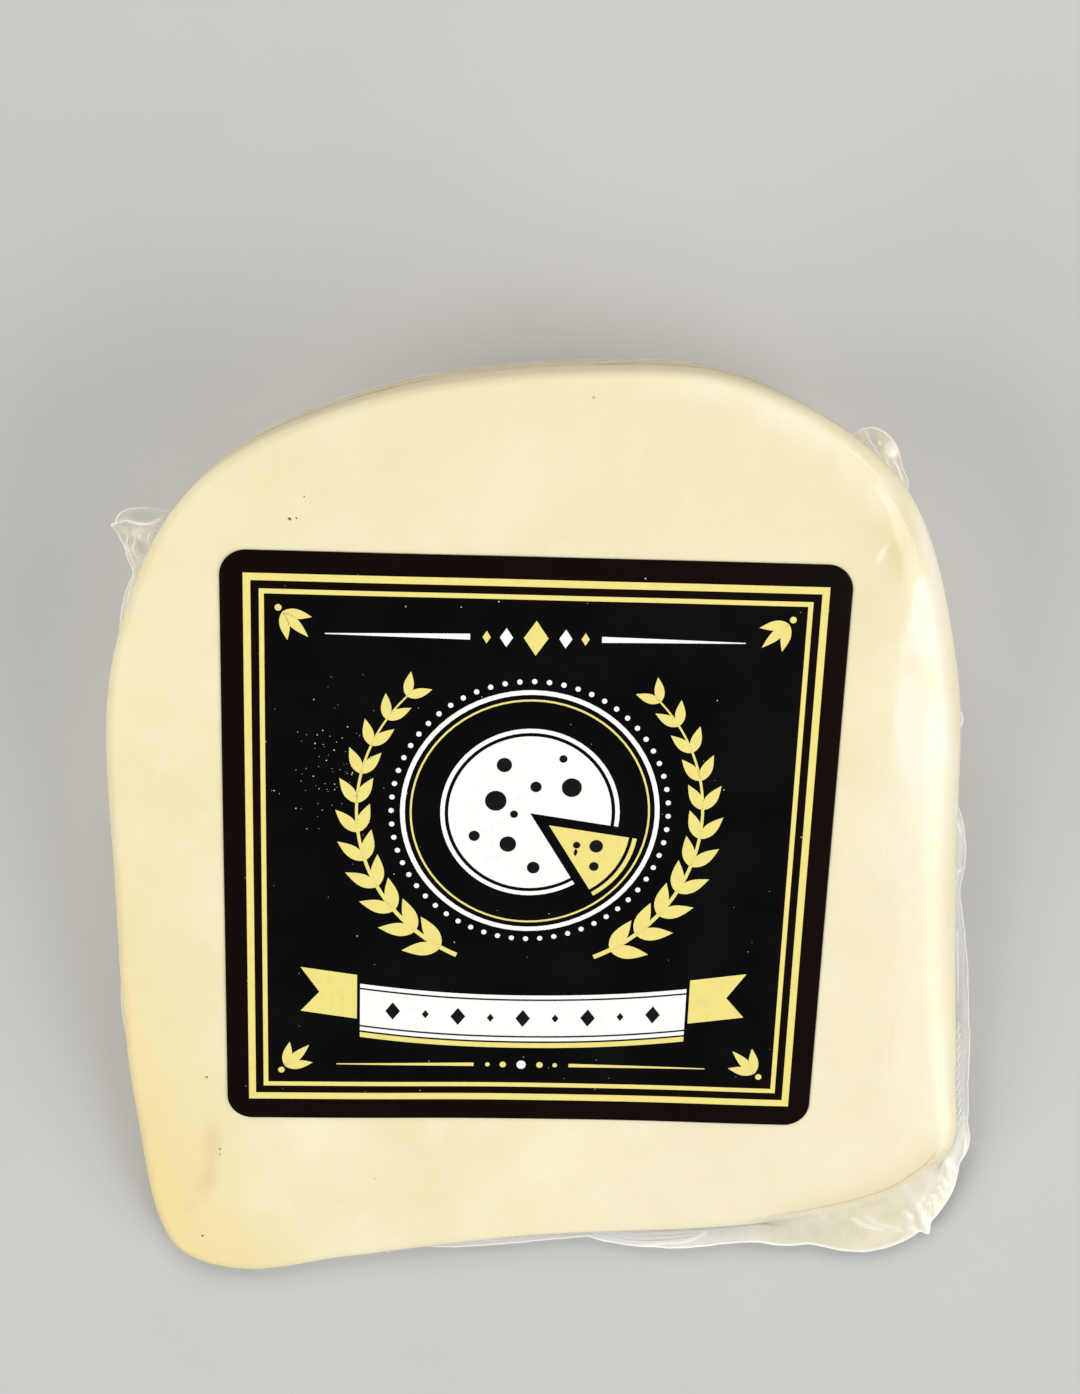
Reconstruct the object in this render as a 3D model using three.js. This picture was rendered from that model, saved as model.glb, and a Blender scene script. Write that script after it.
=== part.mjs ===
// A wedge of pale gouda, sealed in clear film and lying on one cut face, with a square label on the other.
// Millimetres. X runs across the wheel, Y outward to its rim, and Z up from the face the wedge lies on.
import * as THREE from "three";

// The wedge is cut from a wheel whose axis lies along X at the height of the lower face.
const WEDGE_ANGLE = THREE.MathUtils.degToRad(18);
const LABEL_FROM_AXIS = 72; // along the upper face, from the axis to the middle of the label
const EDGE_ROUND = 1.4; // radius of the rounded cut edges
const RIGHT_EDGE_ROUND = 6; // their radius on the right side, where they are softer
const THIN_EDGE_SHARE = 0.7; // of the half thickness, the most that the rounding takes at the thin edge
const OUTLINE_POINTS = 240;
const ROUND_STEPS = 4;
const FACE_RINGS = [0.35, 0.7]; // rings of a cut face, as shares of the way out from its middle

// The wheel's section as [across, outward] from the middle of the label, on a smooth closed curve.
const SECTION = [
  [8, 60], // rim
  [-20.1, 56.2],
  [-40.5, 45.7], // left shoulder
  [-50.7, 25],
  [-52.1, -6], // left side
  [-51.1, -36],
  [-46.8, -57.1], // left corner of the thin edge
  [-38.5, -60.7],
  [-24, -59.1],
  [0, -56.2], // thin edge
  [34, -54.2],
  [52.6, -48.8], // right corner of the thin edge
  [57.4, -43.6],
  [57.4, -34],
  [55.6, -4], // right side
  [53.5, 24],
  [45, 46.4], // right shoulder
  [25.8, 58.4], // right end of the rim
];

// The upper face sinks a little below the middle of the label.
const DISH_DEPTH = 1.2;
const DISH_OUTWARD = -30;
const DISH_RADIUS = 38;

// Free film along the seam at half height. Each edge is placed by its distance along the outline from the rim,
// runs the given length to each side, stands out by its reach, and is blunter as its taper falls.
const FILM_EDGES = [
  { at: 62, side: 3.6, reach: 6.6, taper: 0.7 }, // ear at the left shoulder
  { at: 65.3, side: 3.8, reach: 3.8, taper: 1.3 }, // skirt below that ear
  { at: 70.5, side: 8, reach: 2.2, taper: 0.7 }, // strip below the skirt
  { at: 124, side: 9, reach: 1.4, taper: 1 }, // lower left side
  { at: 206, side: 14, reach: 1.4, taper: 0.5 }, // middle of the thin edge
  { at: 226, side: 12, reach: 3.4, taper: 0.45 }, // right part of the thin edge
  { at: 238, side: 18, reach: 4, taper: 0.5 },
  { at: 248, side: 10, reach: 6.6, taper: 0.6 }, // left of the flap
  { at: 254.5, side: 8.5, reach: 7.9, taper: 0.5 }, // flap at the right corner
  { at: 262, side: 6, reach: 4.4, taper: 0.6 }, // right of the flap
  { at: 267, side: 6, reach: 2.8, taper: 0.7 },
  { at: 285, side: 18, reach: 2.1, taper: 0.25 }, // lower right side
  { at: 307.4, side: 8.5, reach: 2.6, taper: 0.8 }, // wave on the right side
  { at: 324.4, side: 2.6, reach: 2.3, taper: 0.7 }, // bump on the right side
  { at: 356.2, side: 4, reach: 1.8, taper: 0.8 }, // strip below the right ear
  { at: 359.5, side: 3.6, reach: 3.7, taper: 1 }, // skirt below the right ear
  { at: 361.3, side: 2.9, reach: 3.9, taper: 0.35 }, // ear at the right shoulder
];
const SEAM_REACH = 0.2; // the seam is a low ridge where no film stands out
const SEAM_HALF = 0.6; // half the seam's thickness at its root
const SEAM_WALL_SHARE = 0.8; // of the upright part of a thin wall, the most that the root takes
const FILM_HALF = 0.35; // half the thickness of the doubled film at its free edge
const FILM_THIN_SHARE = 0.8; // of the root's thickness, the most that the free edge keeps
const FILM_WAVE = 0.7; // rise and fall of a free edge that stands out by the length below
const FILM_WAVE_REACH = 6;
const FILM_WAVE_LENGTH = 9;

const LABEL_SIDE = 76.2;
const LABEL_CORNER = 3.2;
const LABEL_THICK = 0.3;
const LABEL_GAP = 0.3; // between the label and the film under it
const LABEL_TURN = THREE.MathUtils.degToRad(-1.35);
const LABEL_CORNER_STEPS = 5;
const LABEL_SIDE_STEPS = 8;
const LABEL_RINGS = [0.3, 0.65, 1];

const FILM_OVER_CHEESE = new THREE.MeshStandardMaterial({ color: 0xf3e7bd, roughness: 0.3 });
const LABEL_BLACK = new THREE.MeshStandardMaterial({ color: 0x14110d, roughness: 0.45 });

// A point of the wheel's section, turned about the axis up from the lower face.
function onWheel(across, outward, turn) {
  const radius = LABEL_FROM_AXIS + outward;
  return new THREE.Vector3(across, radius * Math.cos(turn), radius * Math.sin(turn));
}

function dish(across, outward) {
  const away = Math.hypot(across, outward - DISH_OUTWARD) / DISH_RADIUS;
  return DISH_DEPTH * Math.exp(-away * away);
}

// A point over the upper face, raised square to it.
function overFace(across, outward, raise) {
  const normal = new THREE.Vector3(0, -Math.sin(WEDGE_ANGLE), Math.cos(WEDGE_ANGLE));
  const point = onWheel(across, outward, WEDGE_ANGLE);
  return point.addScaledVector(normal, raise - dish(across, outward));
}

// How far the film stands out from the outline, by the distance along it.
function filmReach(along) {
  let reach = SEAM_REACH;
  for (const edge of FILM_EDGES) {
    const off = Math.abs(along - edge.at) / edge.side;
    if (off < 1) {
      reach = Math.max(reach, edge.reach * Math.cos((off * Math.PI) / 2) ** edge.taper);
    }
  }
  return reach;
}

// The outline as stations that hold all that the rings of the wedge need.
function outlineStations() {
  const points = SECTION.map(([across, outward]) => new THREE.Vector3(across, outward, 0));
  const curve = new THREE.CatmullRomCurve3(points, true, "centripetal");
  const length = curve.getLength();
  const stations = [];
  for (let i = 0; i < OUTLINE_POINTS; i++) {
    const share = i / OUTLINE_POINTS;
    const point = curve.getPointAt(share);
    const tangent = curve.getTangentAt(share);
    const half = (LABEL_FROM_AXIS + point.y) * Math.sin(WEDGE_ANGLE / 2);
    const rightward = Math.max(0, tangent.y);
    const soft = THREE.MathUtils.lerp(EDGE_ROUND, RIGHT_EDGE_ROUND, rightward ** 2);
    const round = Math.min(soft, THIN_EDGE_SHARE * half);
    stations.push({
      point,
      outward: new THREE.Vector3(tangent.y, -tangent.x, 0),
      along: share * length,
      half,
      round,
      seamHalf: Math.min(SEAM_HALF, SEAM_WALL_SHARE * (half - round)),
    });
  }
  return stations;
}

// A point of the wall: out from the outline, and up from half height.
function onWall(station, out, up) {
  const place = station.point.clone().addScaledVector(station.outward, out);
  const turn = (WEDGE_ANGLE / 2) * (1 + up / station.half);
  return onWheel(place.x, place.y, turn);
}

// Rings of one half of the wedge, from its cut face out to the free edge of the film. Side is 1 up, -1 down.
function wedgeHalf(stations, side) {
  const rings = [];
  for (const share of FACE_RINGS) {
    rings.push(stations.map((station) => {
      const place = station.point.clone().addScaledVector(station.outward, -station.round);
      place.multiplyScalar(share);
      return side > 0 ? overFace(place.x, place.y, 0) : onWheel(place.x, place.y, 0);
    }));
  }
  for (let step = 0; step <= ROUND_STEPS; step++) {
    const turn = (step / ROUND_STEPS) * (Math.PI / 2);
    rings.push(stations.map((station) => {
      const inset = station.round * (1 - Math.sin(turn));
      const up = station.half - station.round * (1 - Math.cos(turn));
      return onWall(station, -inset, side * up);
    }));
  }
  rings.push(stations.map((station) => onWall(station, 0, side * station.seamHalf)));
  rings.push(stations.map((station) => filmPoint(station, 0.5, side)));
  rings.push(stations.map((station) => filmPoint(station, 1, side)));
  return rings;
}

// A point of the free film, by its share of the way out to the film's edge.
function filmPoint(station, share, side) {
  const reach = filmReach(station.along);
  const thin = Math.min(FILM_HALF, station.seamHalf * FILM_THIN_SHARE);
  const half = THREE.MathUtils.lerp(station.seamHalf, thin, share);
  const swing = (FILM_WAVE * share * (reach - SEAM_REACH)) / FILM_WAVE_REACH;
  const wave = swing * Math.sin((station.along / FILM_WAVE_LENGTH) * 2 * Math.PI);
  return onWall(station, reach * share, side * half + wave);
}

// A closed surface through rings of points, with a single point at each end.
function closedSurface(rings) {
  const positions = [];
  const firsts = [];
  for (const ring of rings) {
    firsts.push(positions.length / 3);
    ring.forEach((point) => positions.push(point.x, point.y, point.z));
  }
  const index = [];
  for (let j = 0; j + 1 < rings.length; j++) {
    const count = Math.max(rings[j].length, rings[j + 1].length);
    for (let i = 0; i < count; i++) {
      const next = (i + 1) % count;
      const a = firsts[j];
      const b = firsts[j + 1];
      if (rings[j].length > 1) index.push(a + i, rings[j + 1].length > 1 ? b + next : b, a + next);
      if (rings[j + 1].length > 1) index.push(rings[j].length > 1 ? a + i : a, b + i, b + next);
    }
  }
  const geometry = new THREE.BufferGeometry();
  geometry.setAttribute("position", new THREE.Float32BufferAttribute(positions, 3));
  geometry.setIndex(index);
  geometry.computeVertexNormals();
  return geometry;
}

function wrappedWedge() {
  const stations = outlineStations();
  const rings = [
    [overFace(0, 0, 0)],
    ...wedgeHalf(stations, 1),
    ...wedgeHalf(stations, -1).reverse(),
    [onWheel(0, 0, 0)],
  ];
  const mesh = new THREE.Mesh(closedSurface(rings), FILM_OVER_CHEESE);
  mesh.name = "wrapped_wedge";
  return mesh;
}

// The label's edge, anticlockwise, with its sides split so that it can follow the dish.
function labelOutline() {
  const reach = LABEL_SIDE / 2 - LABEL_CORNER;
  const points = [];
  for (let corner = 0; corner < 4; corner++) {
    const start = (corner * Math.PI) / 2;
    const middle = new THREE.Vector2(reach, reach).rotateAround(new THREE.Vector2(), start);
    for (let step = 0; step <= LABEL_CORNER_STEPS; step++) {
      const turn = start + (step / LABEL_CORNER_STEPS) * (Math.PI / 2);
      points.push(new THREE.Vector2(Math.cos(turn), Math.sin(turn)).multiplyScalar(LABEL_CORNER).add(middle));
    }
    const from = points[points.length - 1];
    const along = new THREE.Vector2(-2 * reach, 0).rotateAround(new THREE.Vector2(), start);
    for (let step = 1; step < LABEL_SIDE_STEPS; step++) {
      points.push(from.clone().addScaledVector(along, step / LABEL_SIDE_STEPS));
    }
  }
  return points.map((point) => point.rotateAround(new THREE.Vector2(), LABEL_TURN));
}

function label() {
  const edge = labelOutline();
  const layer = (raise) => LABEL_RINGS.map((share) =>
    edge.map((point) => overFace(point.x * share, point.y * share, raise)));
  const rings = [
    [overFace(0, 0, LABEL_GAP + LABEL_THICK)],
    ...layer(LABEL_GAP + LABEL_THICK),
    ...layer(LABEL_GAP).reverse(),
    [overFace(0, 0, LABEL_GAP)],
  ];
  const mesh = new THREE.Mesh(closedSurface(rings), LABEL_BLACK);
  mesh.name = "label";
  return mesh;
}

const part = new THREE.Group();
part.add(wrappedWedge(), label());

// The origin is the middle of the underside's bounding box.
const middle = new THREE.Box3().setFromObject(part).getCenter(new THREE.Vector3());
part.children.forEach((mesh) => mesh.position.set(-middle.x, -middle.y, 0));

export default part;
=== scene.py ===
"""Looks of a wedge of goat gouda sealed in clear film, with a square label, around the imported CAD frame.

Shapes are worked out in millimetres on the wheel that the wedge was cut from: across the wheel, outward
from the middle of the label, and turned about the wheel's axis up from the lower cut face.
"""
import math
from functools import partial

import bpy
import numpy as np
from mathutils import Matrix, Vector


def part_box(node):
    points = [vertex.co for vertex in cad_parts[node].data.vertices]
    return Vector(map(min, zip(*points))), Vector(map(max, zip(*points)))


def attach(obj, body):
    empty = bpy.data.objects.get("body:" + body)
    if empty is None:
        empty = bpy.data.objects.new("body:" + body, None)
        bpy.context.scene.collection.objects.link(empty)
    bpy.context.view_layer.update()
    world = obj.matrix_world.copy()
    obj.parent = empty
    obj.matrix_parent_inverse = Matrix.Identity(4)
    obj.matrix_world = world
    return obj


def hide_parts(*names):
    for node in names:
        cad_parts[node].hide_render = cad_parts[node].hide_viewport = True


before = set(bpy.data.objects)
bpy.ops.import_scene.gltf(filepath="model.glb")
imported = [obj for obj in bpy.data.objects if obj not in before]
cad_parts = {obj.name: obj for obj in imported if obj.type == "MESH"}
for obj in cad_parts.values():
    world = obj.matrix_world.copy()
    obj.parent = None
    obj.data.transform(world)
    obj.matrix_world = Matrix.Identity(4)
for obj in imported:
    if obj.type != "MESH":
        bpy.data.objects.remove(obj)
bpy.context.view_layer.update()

MM = 0.001
draws = np.random.default_rng(7)

# The wedge, as in the CAD. The section's points are across and outward from the middle of the label.
WEDGE_ANGLE = math.radians(18)
LABEL_FROM_AXIS = 72.0  # along the upper face, from the wheel's axis to the middle of the label
EDGE_ROUND = 1.4  # radius of the rounded cut edges
RIGHT_EDGE_ROUND = 6.0  # their radius on the right side, where they are softer
THIN_EDGE_SHARE = 0.7  # of the half thickness, the most that the rounding takes at the thin edge
SECTION = [
    (8, 60), (-20.1, 56.2), (-40.5, 45.7), (-50.7, 25), (-52.1, -6), (-51.1, -36), (-46.8, -57.1),
    (-38.5, -60.7), (-24, -59.1), (0, -56.2), (34, -54.2), (52.6, -48.8), (57.4, -43.6), (57.4, -34),
    (55.6, -4), (53.5, 24), (45, 46.4), (25.8, 58.4),
]
DISH_DEPTH = 1.2
DISH_OUTWARD = -30.0
DISH_RADIUS = 38.0
# Swells left by the cut: height, and the distances across and outward in which a wave turns by a radian.
SWELL = (0.07, 9.0, 13.0)
SLANTED_SWELL = (0.03, 4.1, 5.3)

# Marks on the upper face: across, outward, depth (nought for a darker tone alone), length, width, turn of
# the length and how much darker they are painted.
DENTS = [
    (42.7, 38.2, 0.46, 1.05, 0.36, 74, 0.0),
    (44.9, 37.8, 0.00, 2.4, 1.4, 75, 0.50),
    (46.4, 35.4, 0.12, 0.9, 0.6, 60, 0.15),
    (41.0, 35.0, 0.00, 12.0, 2.6, 92, 0.16),
    (44.2, 42.8, 0.00, 3.2, 2.2, 100, 0.40),
    (-41.6, -42.5, 0.42, 3.4, 0.8, 84, 0.34),
    (-42.4, -47.4, 0.40, 1.6, 0.9, 60, 0.42),
    (-45.0, -50.6, 0.16, 1.8, 0.9, 40, 0.20),
    (-31.0, -50.3, 0.26, 2.2, 0.5, -68, 0.0),
]
# Dark specks on the upper face: across, outward and radius.
SPECKS = [
    (-28.7, 42.4, 0.22), (-27.9, 42.5, 0.13), (-26.9, 45.1, 0.10), (7.1, 57.0, 0.11), (-41.5, -31.6, 0.17),
    (-40.2, -42.2, 0.14), (-40.2, -43.0, 0.10), (-43.0, -55.1, 0.18), (31.0, 30.5, 0.08),
    (-20.0, -47.0, 0.08),
]

# Stretches of the outline, as distances along it: where they start, are full, are no longer full, and end.
# Painted shade round the flap's cut edge, first on the cheese, then on the film.
FLAP_EDGE_SHADE_ON_CHEESE = (234, 246, 264, 270)
FLAP_EDGE_SHADE_ON_FILM = (243, 249, 263, 268)
# Where a highlight is painted on the cheese's right edge and right shoulder.
RIGHT_EDGE = (328, 340, 352, 362)
RIGHT_SHOULDER = (352, 362, 384, 398)
# The same for the painted highlight band and the looser film of the upper face's right side, as distances
# outward.
HIGHLIGHT_BAND_OUTWARD = (-46, -26, 33, 37)
LOOSE_FILM = (-52, -40, 30, 44)
LOOSE_FILM_FADE = 11  # distance across in which the looser film of the right side sets in
# Where the painted highlight band starts and ends across, and how far that shifts by the rim and by the thin
# edge.
HIGHLIGHT_BAND_START = (45.2, 1.6, 2.5)
HIGHLIGHT_BAND_END = (52.3, -3.5, 8.0)

# The cheese's surface: places round its outline, and rings by the share of the way out over a face, by the
# turn round an edge and by the level on its wall.
CHEESE_STATIONS = 480
TOP_SHARES = np.r_[np.linspace(0.08, 0.6, 10), np.linspace(0.63, 1, 26)]
LOW_SHARES = np.linspace(0.1, 1, 8)
EDGE_STEPS = 12
EDGE_TURNS = np.arange(1, EDGE_STEPS + 1) / EDGE_STEPS
WALL_LEVELS = np.linspace(1, -1, 15)[1:-1]

# Free film along the seam: distance along the outline from the rim, length to each side, reach, taper,
# milkiness and creaminess.
FILM_EDGES = [
    (62.0, 3.6, 6.6, 0.7, 0.26, 0.0),  # ear at the left shoulder
    (63.0, 0.7, 6.2, 1.0, 0.60, 0.0),  # its spike
    (64.3, 4.4, 4.0, 1.2, 0.40, 0.1),  # skirt below that ear
    (70.5, 8.0, 2.2, 0.7, 0.35, 0.3),  # strip below the skirt
    (124.0, 9.0, 1.4, 1.0, 0.30, 0.2),  # lower left side
    (206.0, 14.0, 1.4, 0.5, 0.35, 0.2),  # middle of the thin edge
    (226.0, 12.0, 3.1, 0.45, 0.42, 0.1),  # right part of the thin edge
    (233.0, 12.0, 3.1, 0.4, 0.55, 0.4),
    (243.0, 9.0, 4.8, 0.8, 0.85, 0.9),  # left of the flap
    (253.4, 12.4, 8.1, 0.7, 0.92, 1.0),  # flap at the right corner
    (258.0, 0.9, 7.7, 0.6, 0.90, 0.5),  # its sharp corner
    (262.0, 4.0, 4.2, 0.8, 0.85, 0.4),  # right of the flap
    (266.0, 5.0, 2.8, 0.8, 0.60, 0.4),
    (284.0, 19.0, 2.4, 0.25, 0.12, 0.0),  # lower right side
    (307.4, 8.5, 2.6, 0.8, 0.15, 0.0),  # wave on the right side
    (324.4, 2.6, 2.3, 0.7, 0.35, 0.0),  # bump on the right side
    (357.0, 4.5, 2.5, 0.9, 0.35, 0.1),  # strip below the right ear
    (359.5, 3.6, 3.5, 1.0, 0.50, 0.0),  # skirt below the right ear
    (361.3, 2.9, 3.8, 0.35, 0.32, 0.0),  # ear at the right shoulder
]
# White creases of the free film: strength, then points by their distance along the outline and out from it.
FILM_CREASES = [
    (0.9, ((63.0, 6.5), (61.8, 5.3), (61.6, 4.0), (61.2, 2.9), (60.5, 1.9), (59.7, 1.5))),
    (0.6, ((62.9, 4.9), (63.3, 4.2), (64.3, 4.0), (64.9, 3.4), (66.0, 2.5))),
    (0.6, ((62.6, 3.8), (63.2, 3.2), (64.6, 3.0), (65.1, 2.5), (65.4, 2.0))),
    (0.4, ((61.7, 1.7), (62.5, 1.9), (62.8, 1.4))),
    (0.4, ((66.4, 2.2), (68.0, 1.7), (72.5, 1.5))),
    (0.4, ((363.5, 2.3), (362.4, 1.6), (359.9, 1.0))),
    (0.6, ((358.7, 2.1), (357.7, 2.1), (356.5, 1.7), (355.3, 1.5))),
    (0.4, ((359.1, 1.4), (358.3, 1.2), (357.4, 1.1))),
    (0.9, ((249.9, 1.6), (250.7, 2.9), (252.0, 4.0), (253.3, 5.0))),
    (0.5, ((251.7, 1.9), (252.7, 3.4), (253.9, 4.7), (255.3, 6.1))),
    (0.8, ((256.6, 3.6), (256.9, 5.0), (256.5, 6.2), (256.8, 7.3))),
    (0.9, ((258.5, 3.6), (258.3, 5.2), (258.0, 6.3), (257.8, 7.6))),
    (0.7, ((259.5, 4.0), (258.9, 5.4), (258.3, 7.0))),
    (0.8, ((260.3, 3.4), (260.0, 4.6), (259.4, 5.8))),
    (0.6, ((260.7, 1.5), (259.8, 2.6), (259.0, 3.2))),
    (0.7, ((262.3, 1.5), (262.6, 2.6), (262.4, 3.8))),
    (0.6, ((261.4, 2.8), (261.2, 4.8))),
    (0.6, ((264.3, 1.2), (264.0, 2.2), (264.2, 3.0))),
    (0.7, ((267.6, 1.8), (266.2, 2.4), (264.9, 3.0), (263.9, 3.1))),
    (0.7, ((221.6, 2.7), (226.1, 2.5), (228.2, 2.3), (229.4, 1.8), (230.3, 1.3))),
    (0.4, ((311.7, 1.2), (309.4, 1.8))),
    (0.4, ((303.8, 1.2), (304.4, 1.9))),
    (0.4, ((296.1, 1.0), (286.4, 0.8))),
]
# Painted shade along folds of the free film, in the same way.
FILM_SHADES = [
    (0.5, ((203.0, 0.5), (213.5, 0.7), (217.1, 0.8), (223.0, 0.6), (228.2, 0.3))),
    (0.4, ((229.6, 0.6), (233.5, 0.45), (237.0, 0.35))),
    (0.6, ((217.1, 0.9), (219.6, 1.8), (221.7, 2.0), (225.0, 2.0), (230.1, 1.4))),
    (0.5, ((219.6, 1.1), (222.8, 1.4), (229.8, 1.0))),
    (0.6, ((296.1, 0.7), (286.4, 0.5), (279.0, 0.4))),
]
# Painted shade along folds of the film on the rim: strength, then points by distance along and share of
# the way up its wall.
RIM_SHADES = [
    (0.8, ((366.0, 0.45), (374.0, 0.58), (382.0, 0.66), (390.0, 0.68), (398.0, 0.66), (404.0, 0.60))),
    (0.5, ((370.0, 0.35), (377.0, 0.46), (384.0, 0.52), (392.0, 0.54))),
    (0.7, ((394.0, 0.62), (400.0, 0.70), (408.0, 0.70), (416.0, 0.64))),
    (0.6, ((417.0, 0.66), (426.0, 0.72), (434.0, 0.68))),
    (0.6, ((20.0, 0.62), (28.0, 0.68), (36.0, 0.70), (46.0, 0.64))),
    (0.7, ((44.0, 0.50), (50.0, 0.62), (56.0, 0.66), (60.0, 0.60))),
]
# A twisted fold low on the right side: where it starts and ends, its pitch and how far out each turn runs.
TWIST_START = 269.0
TWIST_END = 283.0
TWIST_PITCH = 1.3
TWIST_OUT = (0.25, 1.05)
# A round bubble in the left ear: along, out and radius.
FILM_BUBBLE = (62.8, 2.8, 0.28)
# Spots of the free film: along, out, length, width, turn of the length, milkiness (clear below nought)
# and height.
FILM_SPOTS = [
    (60.4, 3.6, 2.1, 0.85, 63, -0.95, 0.2),
    (63.8, 2.2, 0.8, 0.6, 120, -0.8, 0.0),
    (62.2, 3.3, 1.4, 0.4, 62, 0.25, 0.1),
    (64.6, 3.6, 1.6, 0.5, 128, 0.25, 0.1),
    (64.0, 4.4, 0.6, 0.3, 100, -0.7, 0.1),
    (65.3, 2.6, 0.6, 0.35, 120, -0.7, 0.1),
    (62.9, 4.4, 0.5, 0.3, 60, -0.6, 0.0),
    (362.1, 2.2, 1.3, 0.6, 38, -0.9, 0.1),
    (359.8, 2.8, 0.85, 0.75, 0, 0.75, 0.5),
    (361.3, 2.3, 0.3, 0.2, 30, 0.8, 0.1),
    (256.9, 4.8, 0.7, 0.35, 90, 0.25, 0.15),
    (258.9, 3.3, 0.8, 0.35, 100, 0.3, 0.15),
    (308.0, 1.4, 3.6, 0.6, 0, -0.7, 0.0),
    (287.0, 1.35, 10.0, 0.4, 0, -0.7, 0.0),
]
EDGE_BLEND = 6  # how sharply one stretch of free film takes over from the next
FILM_FINE_REACH = 1.2  # film that stands out farther has its points closer together
FILM_FINE = 0.26
FILM_COARSE = 0.6
SEAM_REACH = 0.2  # the seam is a low ridge where no film stands out
SEAM_HALF = 0.7  # half the seam's thickness at its root
FILM_GAP = 0.06  # between the film and the cheese
FILM_DENTED = 0.8  # share of a mark's depth that the film follows
FILM_HALF = 0.05  # half the thickness of the doubled film
FILM_BEAD = 0.09  # how much thicker each half is along the free edge
BEAD_WIDTH = 0.24
CREASE_WIDTH = 0.24
CREASE_HEIGHT = 0.16
# The strips of dark folds and of the rim's folds are painted shade.
CREASE_STRIP = 0.26  # widths of the strips along creases, dark folds and the folds of the rim
SHADE_STRIP = 0.16
RIM_STRIP = 0.75
STRIP_LIFT = 0.05  # of those strips over the film
RIM_HEIGHT = 19.0  # of the upper half of the rim's wall
TENT_TURN = math.radians(15)  # where taut film leaves the rounded cut edge
TENT_EDGE = 0.12  # share of the way to the free edge at the foot of the rounding
TENT_ROOT = 0.3  # the same at the seam's root
WRINKLE_COUNT = 150
RIPPLE_COUNT = 14
RIPPLE = 0.05  # height of the waves in the film of the right side
RIPPLE_START = 38  # distance across where they set in
RIPPLE_FADE = (14, 30)  # distances outward between which they die away
# The bloom is partly the film's haze and partly a painted highlight.
HAZE_AND_HIGHLIGHT = 0.12  # whitish bloom of that film
HAZE_AND_HIGHLIGHT_START = 41  # distance across where it sets in
HAZE_AND_HIGHLIGHT_FADE = (-22, 2)  # distances outward between which the bloom grows from half to full

LABEL_SIDE = 76.2
LABEL_CORNER = 3.2
LABEL_TURN = math.radians(-1.35)
LABEL_SHIFT = -0.22  # outward, from its place in the CAD
CAD_LABEL_MIDDLE = 0.45  # height over the face of the middle of the CAD's label
LABEL_TOP = 0.14  # height over the face
LABEL_THICK = 0.12
LABEL_BEVEL = 0.04
INK = 0.03  # thickness of a layer of ink
# The printed round cheese: its middle on the label, its radius, a thin line that lies round it, the turns in
# degrees between which a wedge is cut and how far that is drawn out.
WHEEL_MIDDLE = (0.0, 5.2)
WHEEL_RADIUS = 10.2
RIND_LINE = (0.45, 1.0)
CUT_START = -58.0
CUT_END = -8.0
CUT_OUT = 2.9
# Holes in it and in the wedge: turn in degrees and distance from the middle, and radius.
WHEEL_HOLES = [
    (35, 6.2, 1.25), (80, 3.6, 0.7), (118, 7.2, 0.95), (160, 4.6, 1.35), (205, 7.6, 0.7),
    (238, 5.0, 1.05), (275, 7.4, 0.8), (62, 8.3, 0.5), (185, 2.0, 0.5),
]
WEDGE_HOLES = [(-24, 6.6, 0.85), (-43, 8.0, 0.6), (-36, 4.4, 0.45)]
# Dots and a sprig up each side, round the same middle.
DOT_COUNT = 60
DOT_CIRCLE = 17.3
SPRIG_RADIUS = 21.6
SPRIG_LEAVES = 11
# The printed ribbon: heights of its edges on the label.
RIBBON_LOW = -25.2
RIBBON_HIGH = -18.6
RIBBON_BOW = 1.6  # how far the ribbon bows down at its middle
RIBBON_BOW_HALF = 22.0  # distance from the middle where it doesn't bow
# Dust on the label: specks spread all over, and the place, spread and count of a cluster.
DUST_REACH = 36
DUST_COUNT = 90
CLUSTER_PLACE = (-25.5, 11.5)
CLUSTER_SPREAD = (3.2, 4.0)
CLUSTER_COUNT = 70

# Floor and lights, in metres and watts.
FLOOR_REACH = 3.0
FLOOR_HEIGHT = -0.00005
# Lights: name, direction from the part, distance, size, power, colour and whether it shows in gloss.
LIGHTS = [
    ("key", (0.72, -0.42, 0.52), 1.1, 1.0, 9.2, (1.0, 0.985, 0.96), True),
    ("shoulder", (0.73, 0.25, 0.64), 1.1, 0.32, 0.6, (1.0, 1.0, 1.0), True),
    ("fill", (-0.72, -0.28, 0.62), 1.15, 0.8, 6.8, (1.0, 0.99, 0.97), False),
    ("back", (-0.10, 0.62, 0.75), 1.15, 0.8, 6.9, (1.0, 0.97, 0.91), False),
]
SKY_COLOUR = (0.93, 0.96, 1.0, 1)
SKY_STRENGTH = 0.2

# The camera looks straight down, a little turned, through a lens fitted to the label's perspective.
CAMERA_PLACE = (-6.91, 86.16, 269.65)
CAMERA_TURN = (math.radians(0.384), math.radians(-1.926), 0)
FOCAL_PIXELS = 1973.0
PICTURE_HEIGHT = 1394
SENSOR = 36.0


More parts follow.
